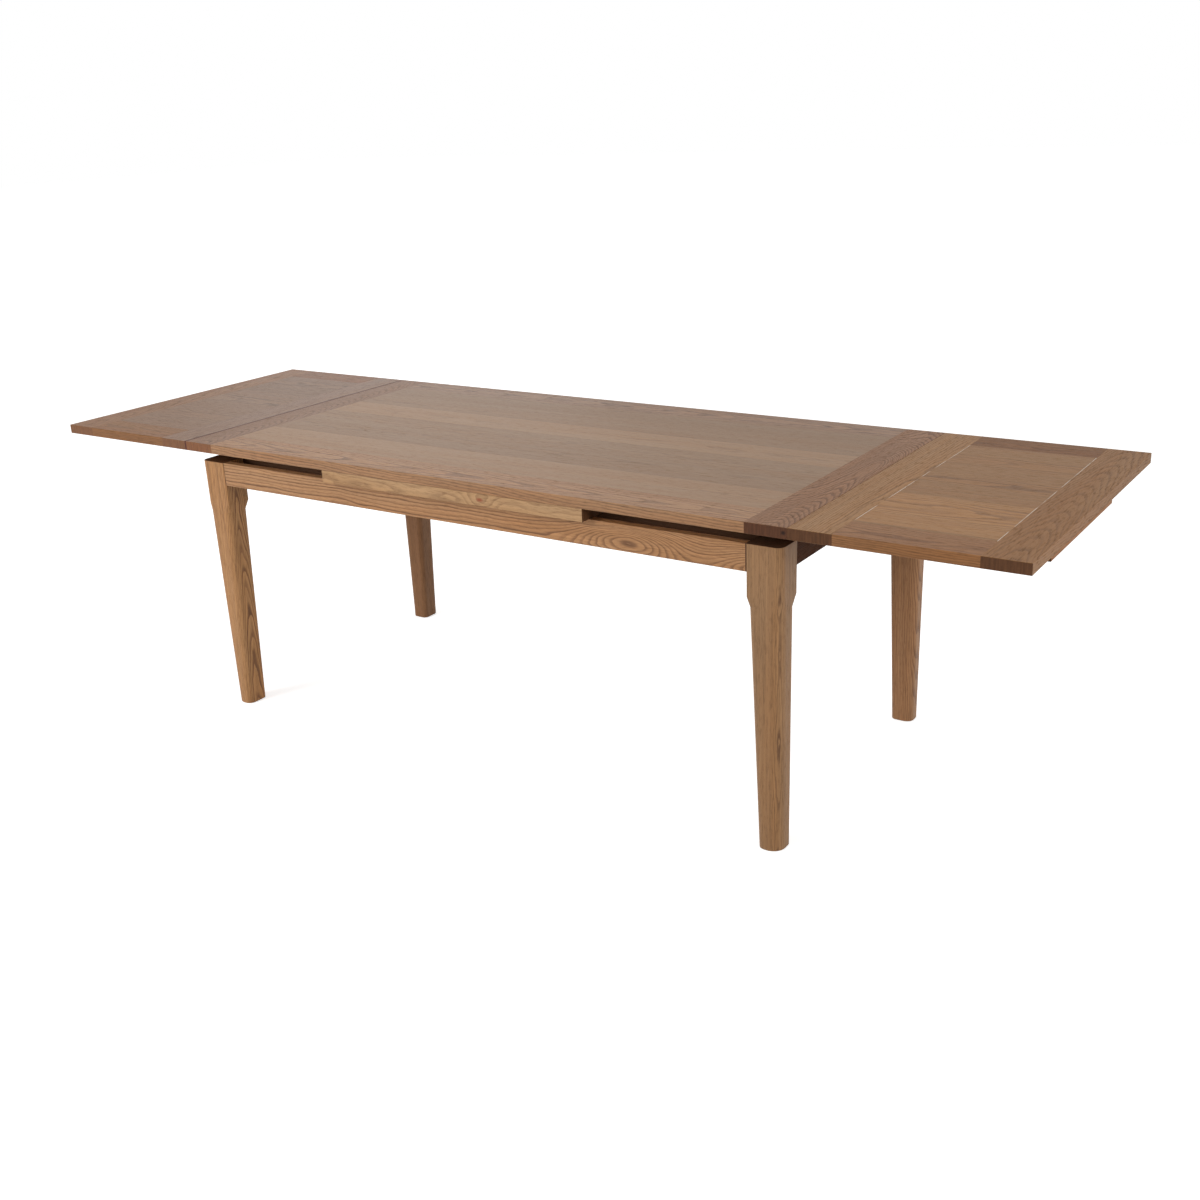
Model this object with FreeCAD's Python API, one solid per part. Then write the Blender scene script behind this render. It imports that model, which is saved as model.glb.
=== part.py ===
import FreeCAD, Part
import math
import os
from FreeCAD import Vector

os.makedirs("parts", exist_ok=True)

# Draw leaf table in oak, both leaves drawn out. Millimetres, +X along the table, +Z up,
# origin on the floor under the middle of the table.

# Main top and leaves
HEIGHT = 775.0          # floor to table surface
TOP_LEN = 1800.0        # main top along X
TOP_WID = 890.0         # main top and leaves along Y
BOARD_T = 25.0          # thickness of main top and leaves
LEAF_LEN = 497.0        # each leaf along X
BUTT_GAP = 0.5          # between leaf and main top when drawn out
CROSS_RAIL_W = 98.0     # rails that run right through to the long edges
SIDE_RAIL_W = 98.0      # rails along the long edges
TONGUE_T = 7.0          # tongue of panel and rail ends
TONGUE_D = 9.0          # tongue length
TONGUE_SIDE = 16.0      # tongue kept back from the rail's edges
TONGUE_CLEAR = 0.3      # groove deeper than the tongue
EASE = 1.0              # rounding of the outer arrises

# Underframe
STORE_H = 31.0          # height of the slots that take the leaves
APRON_H = 63.0
APRON_T = 22.0
APRON_SETBACK = 1.0     # side apron behind the leg face
END_SETBACK = 8.0       # end apron behind the leg face
APRON_EASE = 2.5        # rounding of the aprons' lower arrises
TENON_T = 10.0
TENON_D = 22.0
TENON_SHOULDER = 8.0
LEG_INSET_X = 23.0      # leg face behind the end of the main top
LEG_INSET_Y = 25.0      # leg face behind the long edge of the main top
LEG_HEAD_X = 84.0       # square head of the leg along the table
LEG_HEAD_Y = 74.0       # and across it
NECK_X = 82.0           # inner faces just under the shoulder
NECK_Y = 67.0
FOOT_X = 61.0           # inner faces at the floor
FOOT_Y = 64.0
FOOT_IN = 4.0           # outer end face leans in to the foot
HEAD_LEN = 119.0        # length of the square head
SHOULDER_LEN = 25.0     # sloped step under the head
HEAD_CORNER_R = 18.0    # round on the leg's outer corner, growing down the leg
NECK_CORNER_R = 24.0
FOOT_CORNER_R = 30.0
HEAD_R = 4.0            # other corners of the head
SIDE_R = 20.0           # side corners below the shoulder
INNER_R = 14.0          # inner corner below the shoulder
GLIDE_R = 17.0          # round glide under each leg
GLIDE_T = 2.0
GLIDE_EDGE = 0.8

# Spacer frame between underframe and main top
SPACER_LEN = 794.0
SPACER_W = 70.0
TIE_W = 80.0            # cross tie at each end of the spacer rails
SEAT_GAP = 0.3          # main top above the spacer frame
PEG_D = 18.0            # guide pegs of the main top
PEG_CLEAR = 0.5         # round the peg, on its radius
PEG_IN = 14.0           # glued into the main top
PEG_OUT = 42.0          # below the main top
PEG_EDGE = 2.0          # chamfer at the peg's tip
PEG_SIDE = 51.5         # guide peg beside the inner bearer
PEG_FROM_END = 60.0     # peg behind the end of the spacer rails

# Inclined bearers of the leaves
BEARER_W = 28.0
BEARER_D = 38.0         # depth of the straight run
BEARER_PASS = 6.0       # between the bearers of the two leaves, which pass side by side
BEARER_BACK = 70.0      # outer end behind the end of the leaf
BEARER_SET = 2.0        # step behind the inner edge of the leaf
BEARER_TAIL = 42.0      # run past the guide rail
BEARER_EASE = 2.0       # rounded tail arrises
RUN_CLEAR = 0.4         # bearer above, below and beside its guides
STORE_CLEAR = 2.0       # stored leaf below the main top
STORE_BACK = 3.0        # stored leaf behind the end of the main top
GUIDE_T = 20.0
GUIDE_H = 63.0
GUIDE_FROM_END = 26.0   # guide rail behind the end of the spacer rails
STOP_L = 30.0
STOP_H = 8.0
OVERDRAW = 12.0         # travel left to the stops
STOP_CLEAR = 0.5
RUNNER_T = 16.0         # runner that keeps the outer bearer in line
RUNNER_LEG_GAP = 3.6    # runner beside the leg
RUNNER_NOTCH = 17.0     # notch in front of the corner block, clear of its bolt
RUNNER_H = 50.0
RUNNER_DOWN = 1.0       # runner below the top of the aprons

# Pull batten under each leaf
PULL_H = 8.0
PULL_W = 30.0
PULL_LEN = 436.0
PULL_FRONT = 117.0      # pull batten from the front edge of the right leaf
PULL_COVE_R = 9.0       # finger cove along the back arris
PULL_EASE = 1.2

# Fastenings
SCREW_D = 4.5
SCREW_HEAD_D = 8.6
SCREW_HEAD_T = 3.0
SCREW_SEAT = 6.0        # wood left between screw head and leaf
SCREW_IN = 16.0         # depth in the leaf
SCREW_BORE_D = 10.0
SCREW_INNER = 49.0      # first screw behind the inner edge of the leaf
SCREW_STEP = 145.0
SCREW_COUNT = 3
BLOCK_T = 24.0          # corner block across the corner
BLOCK_H = 26.0
BLOCK_CLEAR = 4.0       # corner block under the stops
BLOCK_GAP = 2.0         # corner block to leg
BOLT_D = 8.0
BOLT_IN = 30.0          # depth in the leg
BOLT_OUT = 12.0         # past the block
NUT_AF = 13.0
NUT_T = 6.5
WASHER_D = 22.0
WASHER_T = 1.6

# Levels and planes that pieces share
board_z = HEIGHT - BOARD_T
apron_z1 = board_z - STORE_H
apron_z0 = apron_z1 - APRON_H
half_len = TOP_LEN / 2
half_wid = TOP_WID / 2
leg_x = half_len - LEG_INSET_X
leg_y = half_wid - LEG_INSET_Y
side_out = leg_y - APRON_SETBACK
side_in = side_out - APRON_T
end_out = leg_x - END_SETBACK
end_in = end_out - APRON_T
spacer_x = SPACER_LEN / 2
guide_x = spacer_x - GUIDE_FROM_END
leaf_x0 = half_len + BUTT_GAP
leaf_x1 = leaf_x0 + LEAF_LEN
tongue_z0 = board_z + (BOARD_T - TONGUE_T) / 2

# The leaf sinks by its own thickness while it travels home under the main top
travel = LEAF_LEN + BUTT_GAP + STORE_BACK
slope = (BOARD_T + STORE_CLEAR) / travel
leg_in_x = leg_x - LEG_HEAD_X
leg_in_y = leg_y - LEG_HEAD_Y
runner_y1 = leg_in_y - RUNNER_LEG_GAP
runner_y0 = runner_y1 - RUNNER_T
outer_bearer_y = runner_y0 - RUN_CLEAR - BEARER_W / 2
inner_bearer_y = outer_bearer_y - BEARER_W - BEARER_PASS
stop_x1 = end_in - OVERDRAW - STOP_CLEAR
stop_x0 = stop_x1 - STOP_L


def bearer_under(x):
    """Lower edge of a bearer of the right leaf at x."""
    return apron_z1 - RUN_CLEAR - BEARER_D + slope * (x - spacer_x)


def box(x0, x1, y0, y1, z0, z1):
    return Part.makeBox(x1 - x0, y1 - y0, z1 - z0, Vector(x0, y0, z0))


def save(name, shape):
    shape.exportStep("parts/" + name + ".step")


def half_turn(shape):
    turned = shape.copy()
    turned.rotate(Vector(0, 0, 0), Vector(0, 0, 1), 180)
    return turned


def on_plane(edge, axis, value):
    return all(abs(getattr(v.Point, axis) - value) < 1e-6 for v in edge.Vertexes)


def ease_edges(shape, planes, radius, levels):
    """Rounds the edges where one of the planes meets one of the levels."""
    picked = []
    for edge in shape.Edges:
        level = any(on_plane(edge, "z", z) for z in levels)
        if level and any(on_plane(edge, axis, value) for axis, value in planes):
            picked.append(edge)
    return shape.makeFillet(radius, picked)


def slab(points, y0, y1):
    """Outline in the XZ plane, drawn out along Y."""
    wire = Part.makePolygon([Vector(x, y0, z) for x, z in points + points[:1]])
    return Part.Face(wire).extrude(Vector(0, y1 - y0, 0))


def framed_board(x0, x1):
    """Two through cross rails, two side rails and a panel tongued into them."""
    faces = (board_z, HEIGHT)
    outer = [("y", -half_wid), ("y", half_wid)]
    in0 = x0 + CROSS_RAIL_W
    in1 = x1 - CROSS_RAIL_W
    panel_y = half_wid - SIDE_RAIL_W
    top_of_tongue = tongue_z0 + TONGUE_T
    groove = TONGUE_D + TONGUE_CLEAR
    panel = box(in0, in1, -panel_y, panel_y, board_z, HEIGHT)
    panel = panel.fuse(box(in0 - TONGUE_D, in1 + TONGUE_D, -panel_y - TONGUE_D, panel_y + TONGUE_D,
                           tongue_z0, top_of_tongue))
    panel_groove = box(in0 - groove, in1 + groove, -panel_y - groove, panel_y + groove, tongue_z0, top_of_tongue)
    pieces = {"panel": panel}
    end_grooves = []
    for name, side in (("front_rail", -1), ("back_rail", 1)):
        y0, y1 = sorted((side * panel_y, side * half_wid))
        rail = ease_edges(box(in0, in1, y0, y1, board_z, HEIGHT), outer, EASE, faces)
        rail = rail.cut(panel_groove)
        t0, t1 = sorted((side * (panel_y + TONGUE_SIDE), side * (half_wid - TONGUE_SIDE)))
        for start, end, deep in ((in0 - TONGUE_D, in0, in0 - groove), (in1, in1 + TONGUE_D, in1 + groove)):
            rail = rail.fuse(box(start, end, t0, t1, tongue_z0, top_of_tongue))
            cut_x = sorted((start, end, deep))
            end_grooves.append(box(cut_x[0], cut_x[2], t0, t1, tongue_z0, top_of_tongue))
        pieces[name] = rail
    for name, c0, c1 in (("low_rail", x0, in0), ("high_rail", in1, x1)):
        rail = box(c0, c1, -half_wid, half_wid, board_z, HEIGHT)
        rail = ease_edges(rail, outer + [("x", x0), ("x", x1)], EASE, faces)
        pieces[name] = rail.cut([panel_groove] + end_grooves)
    return pieces


# Legs: a square head with a round on the outer corner, a sloped shoulder on the two inner
# faces, and a taper down to the foot
def leg_section(lean, width, depth, outer_r, side_r, inner_r, z):
    """Section with its outer corner towards +X +Y; width and depth reach to the inner faces."""
    corners = [(lean, 0, outer_r, 1, 1), (width, 0, side_r, -1, 1), (width, depth, inner_r, -1, -1),
               (lean, depth, side_r, 1, -1)]
    q = math.sqrt(0.5)
    arcs = []
    for index, (u, v, r, du, dv) in enumerate(corners):
        centre = (u + du * r, v + dv * r)
        first = (u, centre[1]) if index in (0, 2) else (centre[0], v)
        last = (centre[0], v) if index in (0, 2) else (u, centre[1])
        middle = (centre[0] - du * r * q, centre[1] - dv * r * q)
        arcs.append([Vector(leg_x - a, leg_y - b, z) for a, b in (first, middle, last)])
    edges = []
    for index, arc in enumerate(arcs):
        following = arcs[(index + 1) % 4]
        edges.append(Part.Arc(*arc).toShape())
        edges.append(Part.LineSegment(arc[2], following[0]).toShape())
    return Part.Wire(edges)


def lean(z):
    """How far the outer end face has leaned in at height z."""
    return FOOT_IN * (apron_z1 - z) / (apron_z1 - GLIDE_T)


shoulder_z1 = apron_z1 - HEAD_LEN
shoulder_z0 = shoulder_z1 - SHOULDER_LEN
head = (LEG_HEAD_X, LEG_HEAD_Y, HEAD_CORNER_R, HEAD_R, HEAD_R)
neck = (NECK_X, NECK_Y, NECK_CORNER_R, SIDE_R, INNER_R)
foot = (FOOT_X, FOOT_Y, FOOT_CORNER_R, SIDE_R, INNER_R)
stations = [(head, apron_z1), (head, shoulder_z1), (neck, shoulder_z0), (foot, GLIDE_T)]
leg = Part.makeLoft([leg_section(lean(z), *size, z) for size, z in stations], True, True)
glide_mid = Vector(leg_x - (FOOT_IN + FOOT_X) / 2, leg_y - FOOT_Y / 2, 0)
glide = Part.makeCylinder(GLIDE_R, GLIDE_T, glide_mid)
glide = glide.makeFillet(GLIDE_EDGE, [e for e in glide.Edges if on_plane(e, "z", 0) and len(e.Vertexes) == 1])

# Tenons that the aprons push into the legs
tenon_z0 = apron_z0 + TENON_SHOULDER
tenon_z1 = apron_z1 - TENON_SHOULDER
side_mid = side_out - APRON_T / 2
end_mid = end_out - APRON_T / 2
side_tenon = box(leg_in_x, leg_in_x + TENON_D, side_mid - TENON_T / 2, side_mid + TENON_T / 2, tenon_z0, tenon_z1)
end_tenon = box(end_mid - TENON_T / 2, end_mid + TENON_T / 2, leg_in_y, leg_in_y + TENON_D, tenon_z0, tenon_z1)
leg = leg.cut([side_tenon, end_tenon])

# Corner block across each corner, drawn to the leg by a bolt with washer and nut
block_z0 = bearer_under(stop_x0) - STOP_H - BLOCK_CLEAR - BLOCK_H
near = leg_in_x + leg_in_y - BLOCK_GAP * math.sqrt(2)
far = near - BLOCK_T * math.sqrt(2)
outline = [(near - side_in, side_in), (far - side_in, side_in), (end_in, far - end_in), (end_in, near - end_in)]
wire = Part.makePolygon([Vector(x, y, block_z0) for x, y in outline + outline[:1]])
block = Part.Face(wire).extrude(Vector(0, 0, BLOCK_H))
inward = Vector(-1, -1, 0).normalize()
leg_corner = Vector(leg_in_x, leg_in_y, block_z0 + BLOCK_H / 2)
bolt_start = leg_corner - inward * BOLT_IN
block_back = leg_corner + inward * (BLOCK_GAP + BLOCK_T)
shank_len = BOLT_IN + BLOCK_GAP + BLOCK_T + BOLT_OUT
shank = Part.makeCylinder(BOLT_D / 2, shank_len, bolt_start, inward)
washer = Part.makeCylinder(WASHER_D / 2, WASHER_T, block_back, inward)
nut_r = NUT_AF / math.sqrt(3)
side_dir = Vector(1, -1, 0).normalize()
nut_base = block_back + inward * WASHER_T
ring = [nut_base + side_dir * (nut_r * math.cos(a)) + Vector(0, 0, nut_r * math.sin(a))
        for a in [math.radians(60 * i) for i in range(7)]]
nut = Part.Face(Part.makePolygon(ring)).extrude(inward * NUT_T)
bolt = shank.fuse([washer, nut])
leg = leg.cut(shank)
block = block.cut(shank)

# Runner beside the outer bearer, from the guide rail to the end apron, notched over the corner block
runner_z1 = apron_z1 - RUNNER_DOWN
runner_z0 = runner_z1 - RUNNER_H
notch_x = far - runner_y1 - RUNNER_NOTCH
block_z1 = block_z0 + BLOCK_H
runner = slab([(guide_x, runner_z0), (notch_x, runner_z0), (notch_x, block_z1), (end_in, block_z1),
               (end_in, runner_z1), (guide_x, runner_z1)], runner_y0, runner_y1)

corners = {"back_right": (1, 1), "front_right": (1, -1), "back_left": (-1, 1), "front_left": (-1, -1)}
for corner, (sx, sy) in corners.items():
    for name, piece in (("leg", leg), ("glide", glide), ("corner_block", block), ("corner_bolt", bolt),
                        ("runner", runner)):
        copy = piece.copy()
        if sx < 0:
            copy = copy.mirror(Vector(0, 0, 0), Vector(1, 0, 0))
        if sy < 0:
            copy = copy.mirror(Vector(0, 0, 0), Vector(0, 1, 0))
        save(name + "_" + corner, copy)

# Side aprons between the legs
side_apron = box(-leg_in_x, leg_in_x, side_in, side_out, apron_z0, apron_z1)
side_apron = ease_edges(side_apron, [("y", side_out), ("y", side_in)], APRON_EASE, (apron_z0,))
side_apron = side_apron.fuse([side_tenon, side_tenon.mirror(Vector(0, 0, 0), Vector(1, 0, 0))])
save("side_apron_back", side_apron)
save("side_apron_front", half_turn(side_apron))

# Bearers: straight inclined bars on the frame's guides, with a level seat under the leaf
tail_x = guide_x - GUIDE_T - BEARER_TAIL
step_x = leaf_x0 + BEARER_SET
nose_x = leaf_x1 - BEARER_BACK
bearer_outline = [(tail_x, bearer_under(tail_x)), (nose_x, bearer_under(nose_x)), (nose_x, board_z),
                  (step_x, board_z), (step_x, bearer_under(step_x) + BEARER_D),
                  (tail_x, bearer_under(tail_x) + BEARER_D)]
far_in = guide_x - GUIDE_T
run_outline = [(far_in - travel, bearer_under(far_in - travel) - RUN_CLEAR),
               (leaf_x1, bearer_under(leaf_x1) - RUN_CLEAR),
               (leaf_x1, board_z + BOARD_T), (far_in - travel, board_z + BOARD_T)]
bearer_mids = {"outer": outer_bearer_y, "inner": -inner_bearer_y}
stop_outline = [(stop_x0, bearer_under(stop_x0)), (stop_x0, bearer_under(stop_x0) - STOP_H),
                (stop_x1, bearer_under(stop_x1) - STOP_H), (stop_x1, bearer_under(stop_x1))]
screw_z = board_z - SCREW_SEAT
right = {}
runs = []
screws = []
screw_bores = []
for name, mid in bearer_mids.items():
    y0 = mid - BEARER_W / 2
    y1 = mid + BEARER_W / 2
    bearer = slab(bearer_outline, y0, y1)
    tail_edges = [e for e in bearer.Edges if on_plane(e, "x", tail_x) and abs(e.Length - BEARER_W) < 1e-6]
    bearer = bearer.makeFillet(BEARER_EASE, tail_edges)
    for index in range(SCREW_COUNT):
        at = Vector(leaf_x0 + SCREW_INNER + SCREW_STEP * index, mid, screw_z)
        head_part = Part.makeCylinder(SCREW_HEAD_D / 2, SCREW_HEAD_T, at, Vector(0, 0, -1))
        screw = Part.makeCylinder(SCREW_D / 2, SCREW_SEAT + SCREW_IN, at)
        screws.append(screw.fuse(head_part))
        bearer = bearer.cut(Part.makeCylinder(SCREW_BORE_D / 2, BEARER_D + STORE_H, at, Vector(0, 0, -1)))
        bearer = bearer.cut(screw)
        screw_bores.append(screw)
    right["bearer_" + name] = bearer
    right["stop_" + name] = slab(stop_outline, y0, y1)
    runs.append(slab(run_outline, y0 - RUN_CLEAR, y1 + RUN_CLEAR))

# End aprons and guide rails, notched for the bearers of their own leaf
end_apron = box(end_in, end_out, -leg_in_y, leg_in_y, apron_z0, apron_z1)
end_apron = ease_edges(end_apron, [("x", end_in), ("x", end_out)], APRON_EASE, (apron_z0,))
end_apron = end_apron.fuse([end_tenon, end_tenon.mirror(Vector(0, 0, 0), Vector(0, 1, 0))]).cut(runs)
guide = box(guide_x - GUIDE_T, guide_x, -side_in, side_in, apron_z1 - GUIDE_H, apron_z1).cut(runs)
save("end_apron_right", end_apron)
save("end_apron_left", half_turn(end_apron))
save("guide_rail_right", guide)
save("guide_rail_left", half_turn(guide))

# Spacer rails flush with the long edges, tied across at their ends: the main top rests on them
spacer_z1 = board_z - SEAT_GAP
spacer = box(-spacer_x, spacer_x, half_wid - SPACER_W, half_wid, apron_z1, spacer_z1)
spacer = ease_edges(spacer, [("y", half_wid)], EASE, (apron_z1,))
save("spacer_rail_back", spacer)
save("spacer_rail_front", half_turn(spacer))
tie_y = half_wid - SPACER_W
peg_y = inner_bearer_y - BEARER_W / 2 - PEG_SIDE - PEG_D / 2
peg_x = spacer_x - PEG_FROM_END
tie = box(spacer_x - TIE_W, spacer_x, -tie_y, tie_y, apron_z1, spacer_z1)
for side in (-1, 1):
    tie = tie.cut(Part.makeCylinder(PEG_D / 2 + PEG_CLEAR, STORE_H, Vector(peg_x, side * peg_y, apron_z1)))
save("cross_tie_right", tie)
save("cross_tie_left", half_turn(tie))

# Main top, with guide pegs that drop into the cross ties
main = framed_board(-half_len, half_len)
peg = Part.makeCylinder(PEG_D / 2, PEG_IN + PEG_OUT, Vector(peg_x, peg_y, board_z - PEG_OUT))
tip = [e for e in peg.Edges if on_plane(e, "z", board_z - PEG_OUT) and len(e.Vertexes) == 1]
peg = peg.makeChamfer(PEG_EDGE, tip)
for corner, (sx, sy) in corners.items():
    placed = peg.copy()
    placed.translate(Vector((sx - 1) * peg_x, (sy - 1) * peg_y, 0))
    main["panel"] = main["panel"].cut(placed)
    save("guide_peg_" + corner, placed)
save("top_panel", main["panel"])
save("top_side_rail_front", main["front_rail"])
save("top_side_rail_back", main["back_rail"])
save("top_end_rail_left", main["low_rail"])
save("top_end_rail_right", main["high_rail"])

# Right leaf with its pull batten; the left leaf is the same, turned half round
leaf = framed_board(leaf_x0, leaf_x1)
leaf = {name: piece.cut(screw_bores) for name, piece in leaf.items()}
right["panel"] = leaf["panel"]
right["short_rail_a"] = leaf["front_rail"]
right["short_rail_b"] = leaf["back_rail"]
right["inner_rail"] = leaf["low_rail"]
right["outer_rail"] = leaf["high_rail"]
pull_y0 = PULL_FRONT - half_wid
pull_y1 = pull_y0 + PULL_LEN
pull_x0 = leaf_x1 - PULL_W
pull = box(pull_x0, leaf_x1, pull_y0, pull_y1, board_z - PULL_H, board_z)
pull = ease_edges(pull, [("x", leaf_x1)], PULL_EASE, (board_z - PULL_H,))
cove = Part.makeCylinder(PULL_COVE_R, pull_y1 - pull_y0, Vector(pull_x0, pull_y0, board_z - PULL_H), Vector(0, 1, 0))
right["pull"] = pull.cut(cove)
right["screws"] = Part.makeCompound(screws)
for name, piece in right.items():
    save("right_leaf_" + name, piece)
    save("left_leaf_" + name, half_turn(piece))
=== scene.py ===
import math

import bpy
from mathutils import Euler, Matrix, Vector


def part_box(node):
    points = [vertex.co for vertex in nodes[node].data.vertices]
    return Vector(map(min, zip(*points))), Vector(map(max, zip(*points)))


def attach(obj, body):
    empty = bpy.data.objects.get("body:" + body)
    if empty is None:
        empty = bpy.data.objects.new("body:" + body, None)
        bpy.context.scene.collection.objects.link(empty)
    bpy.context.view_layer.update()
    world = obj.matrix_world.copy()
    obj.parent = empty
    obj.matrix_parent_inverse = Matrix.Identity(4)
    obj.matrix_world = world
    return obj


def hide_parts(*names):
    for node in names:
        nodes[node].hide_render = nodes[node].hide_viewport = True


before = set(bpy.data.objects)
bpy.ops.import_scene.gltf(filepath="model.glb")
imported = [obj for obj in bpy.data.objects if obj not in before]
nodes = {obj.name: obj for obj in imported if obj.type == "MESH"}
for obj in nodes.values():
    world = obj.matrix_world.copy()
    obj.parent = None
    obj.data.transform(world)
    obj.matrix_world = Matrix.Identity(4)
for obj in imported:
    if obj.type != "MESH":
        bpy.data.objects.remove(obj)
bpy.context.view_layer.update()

# ---------------------------------------------------------------------------------------------
# Legs: four solid oak posts, square at the head with a large round on the outer corner, a sloped
# shoulder on the two inner faces and a taper to the foot. Sawn and planed, then oiled brown.
# ---------------------------------------------------------------------------------------------


def linear(colour):
    """sRGB hex colour to the linear values that a shader takes."""
    parts = [int(colour[i:i + 2], 16) / 255 for i in (1, 3, 5)]
    return [c / 12.92 if c <= 0.04045 else ((c + 0.055) / 1.055) ** 2.4 for c in parts] + [1.0]


def add(tree, kind, links=None, **settings):
    """Adds a node with its settings and links, and gives its first output."""
    node = tree.nodes.new(kind)
    for key, value in settings.items():
        setattr(node, key, value)
    for socket, value in (links or {}).items():
        if isinstance(value, bpy.types.NodeSocket):
            tree.links.new(value, node.inputs[socket])
        else:
            node.inputs[socket].default_value = value
    return node.outputs[0] if node.outputs else None


# sockets of a colour Mix node: how much of the upper colour, lower colour, upper colour; and its output
SHARE, LOWER, UPPER, MIXED = 0, 6, 7, 2


def timber(name, piece, grain, heart, ring, slant, seed, colour, end=None, figure=0.8, pores=0.5, gloss=0.25,
           roughness=0.5, planks=0.0, strips=0.1, islands=(), knots=(), seams=()):
    """Planed timber as a solid: growth rings round the log's heart, cut by the faces of the board.

    grain is the axis the fibres run along, heart the place of the board's middle beside the heart in mm,
    ring the width of a year's growth in mm, slant how far the board leaves the log's axis, end the colour
    of the end grain. figure and pores are the strength of the rings and of the open pores. planks is the
    width of a panel's strips in mm and strips how far their shades differ. islands are ovals in the figure,
    knots dark eyes and seams lines along joints, each at its place in metres; a seam serves for a dark joint,
    for painted shade or for a painted highlight. It gives the eye dark bands of early wood, short open pores,
    streaks along the fibres, dark ends and a soft sheen."""
    warm_share, dark_share = (0.95, 0.85, 0.72), (0.36, 0.29, 0.26)
    pore_share, end_share = (0.30, 0.26, 0.25), (0.20, 0.14, 0.11)
    pale = linear(colour)
    warm, dark, pore, ends = [[a * b for a, b in zip(pale, share)] + [1.0]
                              for share in (warm_share, dark_share, pore_share, end_share)]
    if end:
        ends = linear(end)
    low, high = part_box(piece)
    middle = (low + high) / 2 * 1000
    turn = {"X": (0, 0, 0), "Y": (0, 0, -math.pi / 2), "Z": (0, math.pi / 2, 0)}[grain]
    along = {"X": (1, 0, 0), "Y": (0, 1, 0), "Z": (0, 0, 1)}[grain]
    log_length = 977.0  # one seed on is this far along the log, in mm
    offset = Vector((seed * log_length, heart[0], heart[1])) - Euler(turn).to_matrix() @ middle
    material = bpy.data.materials.new(name)
    material.use_nodes = True
    tree = material.node_tree
    shader = tree.nodes["Principled BSDF"]
    place = add(tree, "ShaderNodeTexCoord").node
    here = place.outputs["Object"]
    board = add(tree, "ShaderNodeMapping", {"Vector": here, "Location": offset, "Rotation": turn,
                                            "Scale": (1000, 1000, 1000)})
    strip_tone = None
    if planks:
        # the panel's strips, each from another place in the log
        log_reach, heart_beside, seed_spread = (4000.0, 70.0, 60.0), 35.0, 3.7
        axes = add(tree, "ShaderNodeSeparateXYZ", {0: board}).node.outputs
        count = add(tree, "ShaderNodeMath", {0: axes[1], 1: planks}, operation="DIVIDE")
        index = add(tree, "ShaderNodeMath", {0: count}, operation="FLOOR")
        own_seed = add(tree, "ShaderNodeMath", {0: index, 1: seed * seed_spread})
        draw = add(tree, "ShaderNodeTexWhiteNoise", {"W": own_seed}, noise_dimensions="1D").node
        strip_tone = draw.outputs["Value"]
        jump = add(tree, "ShaderNodeVectorMath", {0: draw.outputs["Color"], 1: log_reach}, operation="MULTIPLY")
        inside = add(tree, "ShaderNodeMath", {0: count}, operation="FRACT")
        inside = add(tree, "ShaderNodeMath", {0: inside, 1: planks, 2: -planks / 2 - heart_beside},
                     operation="MULTIPLY_ADD")
        local = add(tree, "ShaderNodeCombineXYZ", {0: axes[0], 1: inside, 2: axes[2]})
        board = add(tree, "ShaderNodeVectorMath", {0: local, 1: jump})
    x, y, z = add(tree, "ShaderNodeSeparateXYZ", {0: board}).node.outputs

    # rings: distance from the heart, bent by slow and quick wander along the board; each wander has its
    # stretch, which is one over its size in mm along and across the fibres, and its reach in mm
    wanders = (((0.0035, 0.014, 0.014), 16.0), ((0.014, 0.06, 0.06), 2.4), ((0.05, 0.25, 0.25), 0.6))
    flat = add(tree, "ShaderNodeCombineXYZ", {1: y, 2: z})
    radius = add(tree, "ShaderNodeVectorMath", {0: flat}, operation="LENGTH").node.outputs["Value"]
    radius = add(tree, "ShaderNodeMath", {0: x, 1: slant, 2: radius}, operation="MULTIPLY_ADD")
    for stretch, reach in wanders:
        spot = add(tree, "ShaderNodeVectorMath", {0: board, 1: stretch}, operation="MULTIPLY")
        wander = add(tree, "ShaderNodeTexNoise", {"Vector": spot, "Scale": 1.0, "Detail": 2.0})
        radius = add(tree, "ShaderNodeMath", {0: wander, 1: reach, 2: radius}, operation="MULTIPLY_ADD")
    for centre, (length, width), lift in islands:
        # a place where the saw grazed the top of a ring, so the figure closes to an oval
        size = [1 / width] * 3
        size["XYZ".index(grain)] = 1 / length
        spot = add(tree, "ShaderNodeVectorMath", {0: here, 1: centre}, operation="SUBTRACT")
        spot = add(tree, "ShaderNodeVectorMath", {0: spot, 1: size}, operation="MULTIPLY")
        far = add(tree, "ShaderNodeVectorMath", {0: spot, 1: spot}, operation="DOT_PRODUCT").node.outputs["Value"]
        swell = add(tree, "ShaderNodeMath", {0: math.exp(-1), 1: far}, operation="POWER")
        radius = add(tree, "ShaderNodeMath", {0: swell, 1: lift, 2: radius}, operation="MULTIPLY_ADD")
    year = add(tree, "ShaderNodeMath", {0: radius, 1: 1 / ring}, operation="MULTIPLY")
    phase = add(tree, "ShaderNodeMath", {0: year}, operation="FRACT")
    early = add(tree, "ShaderNodeValToRGB", {"Fac": phase})
    ramp = early.node.color_ramp
    ramp.elements[0].position, ramp.elements[0].color = 0.0, (0.0, 0.0, 0.0, 1)
    ramp.elements[1].position, ramp.elements[1].color = 1.0, (0.0, 0.0, 0.0, 1)
    for position, value in ((0.07, 1.0), (0.26, 0.85), (0.5, 0.16), (0.75, 0.03)):
        ramp.elements.new(position).color = (value, value, value, 1)
    good = add(tree, "ShaderNodeTexNoise", {"W": year, "Scale": 0.7, "Detail": 1.0}, noise_dimensions="1D")
    good = add(tree, "ShaderNodeMapRange", {"Value": good, "From Min": 0.3, "From Max": 0.7,
                                            "To Min": 0.5, "To Max": 1.0})
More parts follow.
